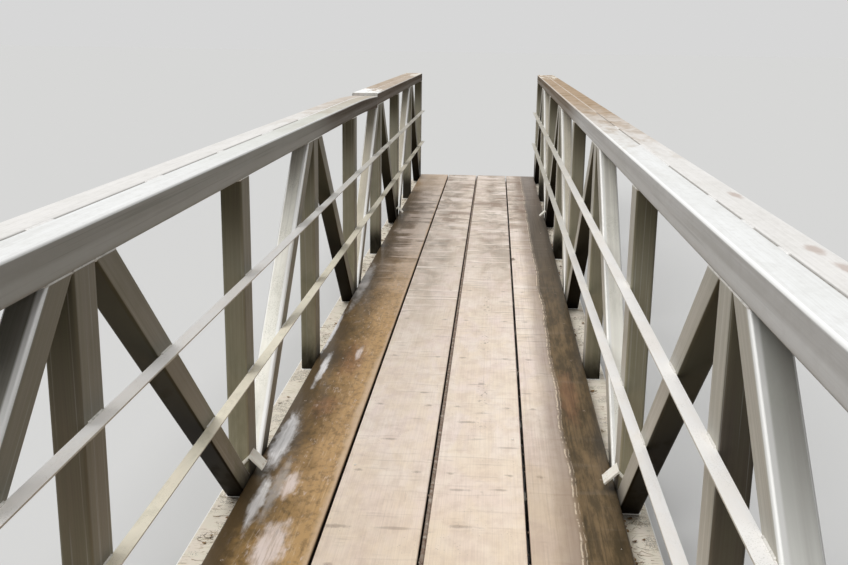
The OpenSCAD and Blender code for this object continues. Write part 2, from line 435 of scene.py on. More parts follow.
@effect("Cross ridges", {"Vector": "Vector"}, ("Pale", "Dark", "Height"))
def cross_ridges(vector):
    """Soft wavy ridges across a plank: a painted highlight on each, and a dark line of painted shade on its
    near side. Height is their relief.
    """
    stretch = (2.6, 21, 1)
    here = cloud(vector, stretch, 3.0, 0.55, 0.35)
    nearer = cloud(vector, stretch, 3.0, 0.55, 0.35, (0, 0.20, 0))
    where = step(cloud(vector, (3.2, 2.4, 1), 2.0, 0.5), 0.36, 0.6)
    dark = step(nearer, 0.53, 0.62) * step(here, 0.58, 0.50) * where
    return step(here, 0.53, 0.64) * where, dark, here


SPOT_INPUTS = {"Vector": "Vector", "X": "Float", "Y": "Float", "Half Width": "Float", "Half Length": "Float"}


@effect("Spot", SPOT_INPUTS, ("Mask",))
def spot(vector, x, y, half_width, half_length):
    """One soft-edged patch with an uneven outline, as long and as wide as its halves say."""
    axes = split(vector)
    reach = distance((axes[0] - x) / half_width, (axes[1] - y) / half_length)
    uneven = cloud(vector, (40, 12, 40), 5.0, 0.62, 0.2)
    return (step(reach + (uneven - 0.5) * 1.7, 1.25, 0.45),)


def spots(place, patches):
    """One mask for several spots, each given as X, Y, half its width and half its length."""
    return reduce(largest, [spot(place, *patch) for patch in patches])


class Finish:
    """A material under construction: its shader, its coordinates and which way the surface faces."""

    def __init__(self, name):
        self.material = bpy.data.materials.new(name)
        self.material.use_nodes = True
        tree = self.material.node_tree
        self.shader = tree.nodes["Principled BSDF"]
        self.place = add("TexCoord", {}, tree)["Object"]
        axes = split(self.place)
        self.x, self.y, self.z = axes[0], axes[1], axes[2]
        facing = split(add("NewGeometry", {}, tree)["Normal"])
        self.sideways, self.end_on, self.up = abs(facing[0]), abs(facing[1]), facing[2]

    def rounded_edge(self):
        """A mask for the upper part of a tube's rounded corner."""
        return band(self.up, 0.15, 0.45, 0.93, 0.995)

    def wet_coat(self, weight, roughness):
        feed(self.shader, {"Coat Weight": weight, "Coat Roughness": roughness})

    def close(self, colour, roughness, metallic=0.0, gloss=0.3, height=None, bump=0.1, depth=0.001):
        """Feeds the shader. The bump's strength is bump, over a depth in metres."""
        feed(self.shader, {"Base Color": colour, "Roughness": roughness, "Metallic": metallic})
        feed(self.shader, {"Specular IOR Level": gloss})
        if height is not None:
            relief = add("Bump", {"Strength": bump, "Distance": depth, "Height": height})[0]
            feed(self.shader, {"Normal": relief})
        return self.material


# Finishes. Numbers beside finish.y are places along the bridge, in metres; those beside finish.up, sideways
# and end_on are parts of the normal; the last two of a step are the strengths that it goes between.


def chord_finish(name, colours, side_tones, stain_reach, dull=0.0, bright_from=None, smudges=()):
    """Handrail chord: mill finish with long brush streaks and a painted highlight on its rounded upper
    edges.
    Its sides are painted darker than its top, and its seam's groove and the faces that look down darker
    still, as painted shade. side_tones are the inner face's near and far colours and the stretch between
    them. stain_reach says where the brown stain begins, where it ends and how strong it is there. dull greys
    the inner tube's top further along the bridge. Past bright_from a stretch of the top is white."""
    side_near, side_far, side_from, side_to = side_tones
    stain_from, stain_to, stain_top = stain_reach
    finish = Finish(name)
    broad, fine, scratch, relief = drawn_streaks(finish.place)
    patches = blotches(scaled(finish.place, (1, 0.3, 1)), 11.0, 0.5)
    mottle = cloud(finish.place, (64, 26, 64), 5.0, 0.72)
    waves = cloud(finish.place, (9, 15, 9), 3.0, 0.55, 1.2)
    top = step(finish.up, 0.25, 0.85)
    side = step(finish.sideways, 0.6, 0.95)
    off_seam = abs(finish.x) - SEAM_X
    # Painted shade: the sides are darker than the top. The far tones are also browner with stain
    side_tone = coats(
        side_near,
        (side_far, step(finish.y, side_from, side_to)),
        (colours.chord_side, step(off_seam, -0.02, 0.02)),
    )
    grey = broad * step(finish.up, 0.3, 0.8, 0.30, 0.08) + fine * 0.11
    lower_half = band(finish.z, WEB_TOP + 0.004, WEB_TOP + 0.014, WEB_TOP + 0.028, WEB_TOP + 0.042)
    along = finish.y + (patches - 0.5) * 0.7
    stained = step(along, stain_from, stain_to) * stain_top
    stained = stained * step(off_seam, -0.05, 0.02, 0.95, 1.0) * step(finish.up, 0.0, 0.5)
    colour = coats(
        colours.chord,
        (colours.chord_outer, step(off_seam, -0.003, 0.003)),
        (side_tone, side),
        (WORN_TOP, step(off_seam, 0.003, -0.003), step(finish.y, -3.2, -0.9), top, dull),
        (colours.chord_grime, grey),
        (colours.dirt_and_shade, scratch, side, 0.17),
        (colours.algae, patches, 0.06),
        (colours.chord_grime, step(mottle, 0.44, 0.68, 0.0, 0.14)),
        (colours.highlight_and_wear, lower_half, side, 0.15),
        (colours.stain, stained),
        (colours.stain_dark, stained, step(waves, 0.52, 0.6), 0.55),
    )
    if smudges:
        colour = coats(colour, (SMUDGE_BROWN, spots(finish.place, smudges), 0.42))
    # Painted highlight along the tube's rounded upper edges, away from the seam
    highlight_and_wear = finish.rounded_edge() * step(abs(off_seam), 0.012, 0.02)
    colour = coats(colour, (colours.highlight_and_wear, highlight_and_wear, 0.85 - stained * 0.5))
    if bright_from is not None:
        bright = step(along, bright_from + 0.50, bright_from + 0.15)
        colour = coats(colour, (colours.highlight_and_wear, bright, top, 0.9))
    # Painted shade: dark in the seam's groove, and on the faces that look down
    valley = step(abs(off_seam), 0.0045, 0.0022)
    colour = coats(
        colour,
        (colours.pale_and_lit, step(along, END_Y - 0.95, END_Y - 0.45), step(patches, 0.2, 0.6), top, 0.6),
        (colours.dirt_and_shade, valley, step(finish.end_on, 0.6, 0.3), 0.4),
        (colours.dirt_and_shade, step(finish.up, -0.3, -0.8), 0.35 + patches * 0.3),
    )
    metallic = step(finish.up, 0.3, 0.8, 0.02, 0.05) * (1.0 - stained)
    return finish.close(colour, step(patches, 0.0, 1.0, 0.40, 0.55), metallic, 0.0, relief, 0.10, 0.0006)


def member_finish(name, colours, turn, side, near_end, lit_tones, edge_highlight=0.0, film=0.4):
    """Post or diagonal: drawn along the tube, olive where it faces along the bridge, with painted light on
    its upper faces and painted shade on its undersides and at its foot. near_end is the end-on faces' darker
    colour at the near end, painted shade. lit_tones are the upper faces' colours, painted lighter than the
    side faces: darker at the near end as painted shade, one tone high up under the chord and one low down,
    paler after the second post and yellower further on. edge_highlight is the strength of a painted
    highlight along the edges."""
    shaded_high, near_low, paler_tone, yellow = lit_tones
    finish = Finish(name)
    turned = split(scaled(finish.place, (1, 1, 1), turn))
    vector = joined(turned[0], turned[2], turned[1])
    broad, fine, scratch, relief = drawn_streaks(vector)
    patches = blotches(scaled(vector, (1, 0.4, 1)), 10.0, film)
    # near_end, the end-on faces' darker tone at the near end, is painted shade
    end_tone = coats(
        near_end,
        (colours.member_end, step(finish.y, -3.4, -2.7)),
        (FILM_LOW_DOWN, step(finish.z, WEB_TOP - 0.3, BEAM_TOP + 0.2, 0.0, 0.3)),
        (FILM_FAR, step(finish.y, -1.0, 3.5, 0.0, 0.7)),
    )
    # Painted shade: the end-on faces darker high up, under the chord
    end_tone = blend(step(finish.z, WEB_TOP - 0.04, WEB_TOP - 0.30), SHADE_UNDER_CHORD, end_tone)
    # Painted light: the upper faces are lighter than the sides. The tones at the near end, and the darkening
    # towards the top, are painted shade under the chord.
    lit = coats(
        shaded_high,
        (near_low, step(finish.z, WEB_TOP - 0.12, WEB_TOP - 0.40)),
        (paler_tone, step(finish.y, -3.3, -2.6)),
        (yellow, step(finish.y, -1.3, 0.4)),
        (shaded_high, step(finish.z, WEB_TOP - 0.45, WEB_TOP, 0.0, 0.12)),
        (colours.algae, specks(finish.place, 260.0, 0.42), step(finish.y, -3.2, -2.6, 0.0, 0.32)),
        (colours.algae, patches, 0.16),
        (colours.chord_grime, broad, step(finish.z, WEB_TOP - 0.6, WEB_TOP, 0.12, 0.45)),
    )
    # Painted shade: faces that look down are dark, darker still low down
    under = blend(step(finish.z, WEB_TOP - 0.05, BEAM_TOP + 0.25), colours.shaded_underside, UNDERSIDE_SHADE)
    # Painted highlight along the members' edges, as strong as edge_highlight says
    inner_edge = step(abs(finish.x), IN_X + 0.019, IN_X + 0.013)
    edge = largest(band(finish.sideways, 0.25, 0.5, 0.75, 0.95), inner_edge)
    not_facing_up = step(finish.up, 0.3, 0.1)
    height_up = finish.z - step(finish.y, 0.0, 2.0, BEAM_TOP, BEAM_TOP + 0.12)
    colour = coats(
        side,
        (end_tone, step(finish.end_on, 0.35, 0.65)),
        (colours.algae, broad, 0.16),
        (colours.dirt_and_shade, fine, 0.11),
        (colours.highlight_and_wear, scratch, 0.13),
        (colours.algae, patches, step(finish.z, WEB_TOP - 0.15, BEAM_TOP, 0.2, 1.0), 0.45),
        (lit, step(finish.up, 0.12, 0.5)),
        (under, step(finish.up, -0.2, -0.5)),
        (colours.highlight_and_wear, edge, step(finish.sideways, 0.97, 0.85), step(finish.up, 0.02, 0.12), edge_highlight),
        # Painted shade at the feet of the posts and diagonals: dark, then nearly black at the foot, on faces
        # that don't look up
        (colours.dirt_and_shade, step(height_up, 0.17, 0.02, 0.0, 0.95), not_facing_up, 0.6 + patches * 0.4),
        (FOOT_SHADE, step(height_up, 0.13, 0.0, 0.0, 0.8), not_facing_up),
    )
    metallic = step(finish.up, 0.12, 0.5, 0.03, 0.22)
    return finish.close(colour, step(patches, 0.0, 1.0, 0.42, 0.55), metallic, 0.02, relief, 0.12, 0.0006)


def rail_finish(name, colours, base, far, film):
    """Rub rail: its flat leg painted pale, lighter than its other faces as painted light, with a cream or
    greenish film in places.
    """
    finish = Finish(name)
    broad, _, _, relief = drawn_streaks(finish.place)
    patches = blotches(scaled(finish.place, (1, 0.5, 1)), 20.0, film)
    cream = blotches(scaled(finish.place, (1, 0.3, 1), shift=(3, 1, 2)), 12.0, 0.5)
    colour = coats(
        colours.member,
        # Painted light: upward faces lighter than the rest
        (blend(step(finish.y, -2.2, 2.6), base, far), step(finish.up, 0.3, 0.8)),
        (colours.timber_gold, cream, 0.16),
        (colours.chord_grime, broad, 0.05),
        (colours.algae, patches, film * 0.45),
        (colours.algae, specks(finish.place, 300.0, 0.35), 0.25),
    )
    return finish.close(colour, step(patches, 0.0, 1.0, 0.4, 0.55), 0.05, 0.1, relief, 0.1, 0.0005)


def bottom_finish(colours):
    """Bottom chord and bearings: pale and gritty on top, stained beside the planks, dark at the sides, with
    a painted highlight along the outer rounded edge.
    """
    finish = Finish("Bottom chord")
    broad = drawn_streaks(finish.place)[0]
    patches = blotches(finish.place, 16.0, 0.5)
    grit = specks(finish.place, 230.0, 0.55)
    fibres = cloud(finish.place, (22, 120, 20), 3.0, 0.6, 0.5)
    across = abs(finish.x) + patches * 0.02
    top = coats(
        colours.bottom,
        (colours.timber_pink, patches, 0.28),
        (colours.bottom_stain, step(across, IN_X + 0.036, IN_X + 0.012), 0.25 + patches * 0.6),
        (colours.bottom_stain, step(fibres, 0.56, 0.64), 0.5),
        (colours.dirt_and_shade, grit, 0.5),
    )
    colour = coats(
        colours.member,
        (colours.dirt_and_shade, broad, 0.4),
        (top, step(finish.up, 0.3, 0.8)),
        # Painted highlight along the outer rounded edge
        (colours.highlight_and_wear, finish.rounded_edge(), step(across, BOTTOM_OUT - 0.02, BOTTOM_OUT - 0.012), 0.8),
    )
    height = grit * 0.8 + fibres
    return finish.close(colour, step(patches, 0.0, 1.0, 0.5, 0.7), 0.05, 0.2, height, 0.3, 0.0015)


def beam_finish(colours):
    """Floor beams: dull mill finish."""
    finish = Finish("Floor beam")
    broad, _, _, relief = drawn_streaks(joined(finish.y, finish.x, finish.z))
    patches = blotches(finish.place, 12.0, 0.45)
    colour = coats(colours.member, (colours.algae, broad, 0.3), (colours.dirt_and_shade, patches, 0.45))
    return finish.close(colour, step(patches, 0.0, 1.0, 0.45, 0.7), 0.15, 0.25, relief, 0.12, 0.0006)


def bare_metal_finish(name, colours, base, metallic=0.2, dirt=0.3):
    """Welds and screws: bare metal with dirt in patches."""
    finish = Finish(name)
    patches = blotches(finish.place, 60.0, 0.4)
    fine = cloud(finish.place, 420.0, 3.0, 0.6)
    colour = coats(base, (colours.dirt_and_shade, patches, dirt))
    return finish.close(colour, step(patches, 0.0, 1.0, 0.38, 0.6), metallic, 0.3, fine, 0.15, 0.0008)


def seam_weld_finish(name, colours, stained_from):
    """Seam welds: ground flush and as pale as the chord, browner past stained_from along the bridge."""
    finish = Finish(name)
    patches = blotches(finish.place, 60.0, 0.4)
    stain = step(finish.y, stained_from - 1.6, stained_from, 0.0, 0.8)
    colour = coats(colours.chord_outer, (SEAM_STAIN, stain), (colours.dirt_and_shade, patches, 0.15))
    return finish.close(colour, step(patches, 0.0, 1.0, 0.4, 0.6), 0.1, 0.1)


def angle_finish(colours):
    """Corner angles: cream and pink, with a yellow-green speck low down and painted shade underneath."""
    finish = Finish("Corner angle")
    patches = blotches(finish.place, 45.0, 0.45)
    fine = cloud(finish.place, 380.0, 3.0, 0.6)
    colour = coats(
        colours.pale_and_lit,
        (colours.timber_pink, patches, 0.35),
        (colours.bottom_stain, step(finish.z, ANGLE_TOP - 0.02, ANGLE_TOP - 0.045), patches, 0.5),
        # Painted shade on the faces that look down
        (colours.shaded_underside, step(finish.up, -0.1, -0.5)),
    )
    return finish.close(colour, step(patches, 0.0, 1.0, 0.4, 0.6), 0.05, 0.3, fine, 0.12, 0.0008)


# Brown marks on the right handrail chord: X, Y, half the width and half the length, in metres
CHORD_SMUDGES = [(0.716, -3.08, 0.014, 0.06), (0.709, -3.70, 0.014, 0.05), (0.716, -3.85, 0.014, 0.06)]
# Soft dark marks across the planks, by plank from 0 at the left, given in the same way
SMUDGES = {
    1: [(-0.251, -2.793, 0.038, 0.014), (-0.169, -2.134, 0.024, 0.010), (-0.082, -1.647, 0.016, 0.010),
        (-0.318, 4.09, 0.05, 0.30), (-0.262, 4.55, 0.04, 0.10)],
    2: [(0.087, -2.522, 0.032, 0.011), (0.211, -2.510, 0.026, 0.010), (0.092, -1.948, 0.034, 0.012),
        (0.142, -1.518, 0.014, 0.016), (0.096, -2.764, 0.034, 0.012)],
    3: [(0.417, 4.213, 0.05, 0.25), (0.356, 2.956, 0.03, 0.12)],
}
# Where small dark marks follow a line along the right inner plank
TRACK_X = 0.148


def screw_marks(finish, plank):
    """Soft uneven marks round the screws of a plank, counted from 0 at the left."""
    left, right = PLANK_X[plank]
    row = maths("PINGPONG", finish.y - (POST_Y[0] + SCREW_PAST), PANEL_L / 4)
    from_left, from_right = abs(finish.x - (left + SCREW_INSET)), abs(finish.x - (right - SCREW_INSET))
    reach = distance(maths("MINIMUM", from_left, from_right) / 0.015, row / 0.010)
    uneven = cloud(finish.place, (70, 70, 1), 4.0, 0.6)
    return step(reach + (uneven - 0.5) * 2.4, 1.35, 0.4)


def dry_timber(finish, colours, offset, plank, grey_from):
    """Sun-bleached planking: mottled cream, pink, yellow and grey with wavy cross ridges, painted with a
    highlight and a line of shade, fine hairlines, smudges and a dark soft mark round each screw. Returns its
    colour, height, broad tone and the ridges' painted highlight and shade."""
    hair, lines, pinker, yellower, smudge = plank_grain(finish.place, offset)
    moved = add("VectorMath", {0: finish.place, 1: offset}, operation="ADD")[0]
    ridge_highlights, ridge_shade, waves = cross_ridges(moved)
    mottle = cloud(moved, (17, 11, 1), 6.0, 0.66, 0.2)
    bands = cloud(moved, (3.2, 5.5, 1), 4.0, 0.6, 0.5)
    far = step(finish.y, grey_from, grey_from + 3.0)
    off_middle = step(abs(finish.x), 0.05, 0.16, 0.45, 1.0)
    ridged = step(finish.y, -1.8, 0.8, 0.20, 1.0)
    banded = step(finish.y, 0.2, 2.8)
    colour = coats(
        colours.timber,
        (colours.timber_pink, pinker, 0.75),
        (colours.timber_gold, yellower, 0.55),
        (TIMBER_NEAR, step(finish.y, -1.9, -3.0, 0.0, 0.35)),
        (colours.timber_grey, far, off_middle, 0.45 + yellower * 0.55),
        (TIMBER_MOTTLE, step(mottle, 0.40, 0.66, 0.0, 0.34)),
        (colours.timber_dark, hair, 0.10),
        (colours.timber_dark, lines, 0.14),
        # Painted shade and painted highlight of the cross ridges
        (colours.timber_dark, ridge_shade, ridged, 0.8),
        (RIDGE_HIGHLIGHT, ridge_highlights, ridged, 0.7),
        (BAND_PALE, step(bands, 0.54, 0.66), banded, 0.75),
        (BAND_DARK, step(bands, 0.47, 0.36), banded, 0.6),
        (colours.timber_dark, smudge, 0.36),
        (colours.timber_dark, screw_marks(finish, plank), 0.34),
    )
    if plank in SMUDGES:
        colour = coats(colour, (colours.timber_dark, spots(finish.place, SMUDGES[plank]), 0.42))
    colour = coats(colour, (colours.timber_dark, specks(finish.place, 75.0, 0.2), 0.35))
    return colour, hair * 0.3 + waves, pinker, ridge_highlights, ridge_shade


def below_the_top(finish, colour):
    """End grain at a plank's ends, dull brown underneath, and nearly black deep between two planks."""
    rings = cloud(finish.place, (36, 1, 130), 3.0, 0.6, 0.8)
    end_grain = blend(step(rings, 0.40, 0.62), END_GRAIN_PALE, END_GRAIN_DARK)
    deep = step(finish.z, DECK_Z - 0.003, DECK_Z - 0.016, 0.0, 0.96)
    return coats(
        colour,
        (end_grain, step(finish.end_on, 0.6, 0.9)),
        (TIMBER_UNDERSIDE, step(finish.up, -0.3, -0.8)),
        (DEEP_SHADE, deep, step(finish.sideways, 0.3, 0.7)),
    )


def dry_plank_finish(name, colours, offset, plank, grey_from, track=False):
    """Dry plank. With a track, small dark marks follow a line along it."""
    finish = Finish(name)
    colour, height, pinker, _, _ = dry_timber(finish, colours, offset, plank, grey_from)
    if track:
        line = step(abs(finish.x - TRACK_X), 0.030, 0.008)
        where = step(cloud(finish.place, (0.1, 2.1, 1), 2.0, 0.5), 0.48, 0.6)
        marks = step(cloud(finish.place, (60, 34, 1), 3.0, 0.6), 0.56, 0.66)
        colour = coats(colour, (colours.timber_dark, line, where, marks, 0.5))
    colour = below_the_top(finish, colour)
    return finish.close(colour, step(pinker, 0.0, 1.0, 0.6, 0.75), 0.0, 0.08, height, 0.3, 0.0012)


# Patches on the outer planks: X, Y, half the width and half the length, in metres
# POOLS: thin puddles, whose pale sheen is a painted reflection
POOLS = [(-0.530, -2.18, 0.034, 0.25), (-0.509, -2.66, 0.022, 0.15), (-0.526, -1.40, 0.015, 0.20),
         (-0.567, -0.84, 0.010, 0.30)]
# PALE_PATCHES: partly painted sheen, partly pale fibres
PALE_PATCHES = [(-0.412, -2.93, 0.044, 0.17), (-0.435, -2.54, 0.026, 0.09), (-0.402, -1.16, 0.014, 0.10)]
RED_PATCHES = [(-0.448, -1.83, 0.05, 0.12), (-0.42, -1.25, 0.06, 0.26)]
# SHEEN_PATCHES: painted reflection, a pale sheen
SHEEN_PATCHES = [(-0.474, -2.56, 0.020, 0.24), (-0.55, 0.10, 0.03, 0.5)]
RIGHT_RED_PATCHES = [(0.485, -1.62, 0.04, 0.30)]
RIGHT_DARK_SPOTS = [(0.463, -0.08, 0.03, 0.045), (0.30, 0.9, 0.02, 0.05)]
# Where the right outer plank's dry and soaked parts meet
TIDEMARK_X = 0.434


def left_plank_finish(colours):
    """Left outer plank: soaked golden brown with thin standing puddles in long pools, their sheen a painted
    reflection, half dry along its inner edge for the first panels, and only damp further on."""
    finish = Finish("Left outer plank")
    dry, height, pinker, ridge_highlights, ridge_shade = dry_timber(finish, colours, (0.0, 0.0, 0.0), 0, 0.0)
    dry = blend(0.6, dry, colours.wet_gold)
    wander = cloud(finish.place, (7, 3.4, 1), 5.0, 0.65)
    out = PLANK_X[0][1] - finish.x
    edge = band(finish.y, -3.9, -2.2, -1.6, -0.7) * 0.016 + (wander - 0.5) * 0.05
    soaked = step(out - edge, -0.008, 0.016)
    fibres = cloud(finish.place, (110, 5, 110), 6.0, 0.72, 0.3)
    broad = cloud(finish.place, (10, 3.6, 10), 4.0, 0.6, 0.2)
    mottle = cloud(finish.place, (42, 24, 42), 5.0, 0.66)
    flecks = cloud(finish.place, (70, 14, 70), 4.0, 0.7, shift=(5, 1, 0))
    bands = cloud(finish.place, (3.2, 5.5, 1), 4.0, 0.6, 0.5)
    soft = out + (broad - 0.5) * 0.22 + (mottle - 0.5) * 0.05
    damp = coats(
        colours.damp,
        (DAMP_INSIDE, step(soft, 0.14, 0.03)),
        (colours.timber_grey, pinker, 0.35),
        # The cross ridges' painted highlight and painted shade
        (colours.timber_pink, ridge_highlights, 0.7),
        (DAMP_BAND, step(bands, 0.53, 0.64, 0.0, 0.7)),
        (colours.wet_dark, step(bands, 0.48, 0.38, 0.0, 0.6)),
        (colours.wet_dark, ridge_shade, 0.5),
    )
    uneven = step(fibres, 0.62, 0.44)
    film = spots(finish.place, POOLS) * (0.72 + uneven * 0.28)
    wet = coats(
        colours.wet_gold,
        (colours.wet_olive, step(soft, 0.05, 0.17)),
        (WET_NEAR, step(finish.y, -2.3, -2.9, 0.0, 0.3)),
        (colours.wet_red, spots(finish.place, RED_PATCHES), 0.5),
        (colours.wet_dark, step(mottle, 0.46, 0.66, 0.0, 0.42)),
        (colours.wet_dark, step(fibres, 0.5, 0.7, 0.0, 0.34)),
        (colours.timber_gold, step(fibres, 0.44, 0.30, 0.0, 0.34)),
        (colours.timber_pink, step(flecks, 0.58, 0.68, 0.0, 0.42)),
        (damp, step(finish.y, -0.9, 1.7, 0.0, 0.92)),
        (colours.wet_dark, step(soft, 0.13, 0.24, 0.0, 0.92)),
        (dry, step(finish.y, 3.0, 5.0, 0.0, 0.8)),
        # Painted reflection: pale sheen in the pale patches, the sheen patches and the pools
        (PALE_AND_SHEEN, spots(finish.place, PALE_PATCHES), 0.62 + uneven * 0.35, 0.92),
        (colours.water_sheen, spots(finish.place, SHEEN_PATCHES), 0.35),
        (colours.water_sheen, film, 0.95),
    )
    colour = below_the_top(finish, blend(soaked, dry, wet))
    roughness = between(film, between(soaked, 0.66, step(fibres, 0.3, 0.7, 0.5, 0.36)), 0.14)
    finish.wet_coat(soaked * (0.15 + film * 0.8), 0.12)
    return finish.close(colour, roughness, 0.0, 0.12, height * step(film, 0.0, 1.0, 1.0, 0.1), 0.3, 0.0012)


def right_plank_finish(colours):
    """Right outer plank: dry inside, dark and damp outside, with two thin pale tidemarks between."""
    finish = Finish("Right outer plank")
    dry, height, _, ridge_highlights, _ = dry_timber(finish, colours, (13.7, 3.1, 0.0), 3, 0.4)
    lines = cloud(finish.place, (120, 1.6, 120), 3.0, 0.6)
    wander = cloud(finish.place, (1.5, 1.6, 1), 2.0, 0.5)
    ragged = cloud(finish.place, (26, 18, 1), 4.0, 0.6)
    mottle = cloud(finish.place, (36, 6, 16), 6.0, 0.66, 0.1)
    past = finish.x - (TIDEMARK_X + (wander - 0.5) * 0.05 + (ragged - 0.5) * 0.014)
    soaked = step(past, -0.014, 0.018)
    dry = coats(
        dry,
        (TIMBER_NEAR_EDGE, step(finish.y, -1.4, -2.7, 0.0, 0.4)),
        (colours.timber_dark, step(lines, 0.5, 0.62), 0.12),
        (colours.timber_dark, step(past, -0.095, -0.015), 0.56),
    )
    wet = coats(
        SOAKED_DARK,
        (SOAKED_PALE, step(mottle, 0.36, 0.66, 0.0, 0.65)),
        (colours.wet_red, spots(finish.place, RIGHT_RED_PATCHES), 0.4),
        (colours.damp_dark, step(finish.y, -1.4, 1.6, 0.0, 0.95)),
        # The cross ridges' painted highlight
        (colours.timber_grey, ridge_highlights, 0.07),
        (colours.dirt_and_shade, step(lines, 0.5, 0.64), 0.4),
        (colours.dirt_and_shade, step(finish.x, 0.515, 0.57, 0.0, 0.55)),
        (dry, step(finish.y, 1.8, 4.6, 0.0, 0.42)),
    )
    broken = step(cloud(finish.place, (6, 22, 1), 3.0, 0.6), 0.40, 0.52)
    first = band(past, -0.004, -0.001, 0.001, 0.003) * broken
    second = band(past, 0.009, 0.011, 0.0115, 0.0135) * broken * 0.6
    colour = coats(
        blend(soaked, dry, wet),
        (colours.timber_gold, largest(first, second), 0.6),
        (colours.wet_dark, spots(finish.place, RIGHT_DARK_SPOTS), 0.7),
    )
    finish.wet_coat(soaked * 0.12, 0.2)
    colour = below_the_top(finish, colour)
    return finish.close(colour, between(soaked, 0.66, 0.45), 0.0, 0.1, height, 0.3, 0.0012)


def litter_finish(name, first, second, pale):
    """Fallen needles, stems, leaves and crumbs, each of its own tone because the pattern is fine."""
    finish = Finish(name)
    mixed = cloud(finish.place, 55.0, 2.0, 0.5)
    light = cloud(finish.place, 31.0, 2.0, 0.5)
    fine = cloud(finish.place, 600.0, 2.0, 0.5)
    colour = coats(first, (second, step(mixed, 0.42, 0.58)), (pale, step(light, 0.55, 0.64, 0.0, 0.8)))
    return finish.close(colour, 0.75, 0.0, 0.2, fine, 0.3, 0.0005)


# Piece building


def add_object(name, data):
    item = bpy.data.objects.new(name, data)
    bpy.context.scene.collection.objects.link(item)
    return item


def to_shape(bm, name):
    """A mesh made from a bmesh."""
    shape = bpy.data.meshes.new(name)
    bm.to_mesh(shape)
    bm.free()
    return shape


def make_piece(bm, name, material, smooth=True):
    """Turns a bmesh into a piece that rides on the bridge's only body."""
    if not bm.faces:
        raise RuntimeError(f"{name} has no faces")
    mesh = to_shape(bm, name)
    mesh.materials.append(material)
    mesh.polygons.foreach_set("use_smooth", [smooth] * len(mesh.polygons))
    piece = add_object(name, mesh)
    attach(piece, BODY)


def at(x, y, z):
    return Matrix.Translation((x, y, z))


def stretch(x, y, z):
    return Matrix.Diagonal((x, y, z, 1))


def stamp(target, shape, matrix):
    """Adds a copy of the mesh shape to the bmesh target, placed by matrix."""
    copy = shape.copy()
    copy.transform(matrix)
    target.from_mesh(copy)
    bpy.data.meshes.remove(copy)


def mirror_to(bm, sign):
    """Turns a piece that was built for the right side into one for the side that sign says."""
    if sign < 0:
        bmesh.ops.scale(bm, vec=(-1, 1, 1), verts=bm.verts)
        bmesh.ops.reverse_faces(bm, faces=bm.faces)


def bead_mesh(path, radius, closed, seed, sides=8, thinnest=0.84):
    """A weld bead: a ring that is extruded from point to point of the path, thick and thin in turn."""
    chance = random.Random(seed)
    bm = bmesh.new()
    path = [Vector(p) for p in path]
    count = len(path)
    direction = (path[1] - path[0]).normalized()
    start = Matrix.Translation(path[0]) @ direction.to_track_quat("Z", "Y").to_matrix().to_4x4()
    ring = bmesh.ops.create_circle(bm, segments=sides, radius=radius, matrix=start)["verts"]
    first_edges = list({e for v in ring for e in v.link_edges})
    edges = first_edges
    size = 1.0
    for k in range(1, count):
        following = path[(k + 1) % count] - path[k] if closed or k < count - 1 else path[k] - path[k - 1]
        ahead = ((path[k] - path[k - 1]).normalized() + following.normalized()).normalized()
        made = bmesh.ops.extrude_edge_only(bm, edges=edges)["geom"]
        ring = [g for g in made if isinstance(g, bmesh.types.BMVert)]
        edges = [g for g in made if isinstance(g, bmesh.types.BMEdge) and all(v in ring for v in g.verts)]
        new_size = (1.0 if k % 2 else thinnest) + chance.uniform(-0.04, 0.0)
        turn = direction.rotation_difference(ahead).to_matrix().to_4x4()
        move = Matrix.Translation(path[k]) @ turn @ Matrix.Scale(new_size / size, 4)
        bmesh.ops.transform(bm, matrix=move @ Matrix.Translation(-path[k - 1]), verts=ring)
        direction, size = ahead, new_size
    if closed:
        bmesh.ops.bridge_loops(bm, edges=first_edges + edges)
    else:
        bmesh.ops.holes_fill(bm, edges=bm.edges, sides=sides)
    bmesh.ops.recalc_face_normals(bm, faces=bm.faces)
    return to_shape(bm, "bead")


def rounded_path(corners, radius, pitch):
    """Closed path through the corners, each rounded off, in points about a pitch apart."""
    turned = []
    for k, corner in enumerate(corners):
        neighbours = corners[k - 1], corners[(k + 1) % len(corners)]
        corner, before, after = (Vector(point) for point in (corner, *neighbours))
        start = corner + (before - corner).normalized() * radius
        end = corner + (after - corner).normalized() * radius
        parts = (0.0, 0.33, 0.67, 1.0)
        turned += [start.lerp(corner, part).lerp(corner.lerp(end, part), part) for part in parts]
    points = []
    for k, point in enumerate(turned):
        following = turned[(k + 1) % len(turned)]
        pieces = max(1, round((following - point).length / pitch))
        points += [point.lerp(following, n / pieces) for n in range(pieces)]
    return points


def level_loop(x0, x1, y0, y1, pitch):
    """Path around a tube that stands on, or hangs under, a level face."""
    return rounded_path([(x0, y0, 0), (x1, y0, 0), (x1, y1, 0), (x0, y1, 0)], CORNER_R, pitch)


def straight_path(start, end, pitch):
    start, end = Vector(start), Vector(end)
    pieces = max(3, round((end - start).length / pitch))
    return [start.lerp(end, n / pieces) for n in range(pieces + 1)]


def diagonal_span(i, z):
    """Where diagonal i, counted from 1, lies along the bridge at height z: its lowest and highest Y."""
    if i % 2:
        start = POST_Y[i - 1] + POST_L / 2 + (z - BEAM_TOP) * math.tan(RISING_LEAN)
        return start, start + RISING_SPAN
    face = POST_Y[i] - POST_L / 2
    end = face - (z - BEAM_TOP - TOE_RISE) * math.tan(FALLING_LEAN)
    return end - FALLING_SPAN, min(end, face)


def member_spans(z):
    """Every post's and diagonal's stretch along the bridge at height z."""
    posts = [(y - POST_L / 2, y + POST_L / 2) for y in POST_Y]
    return posts + [diagonal_span(i, z) for i in range(1, PANELS + 1)]


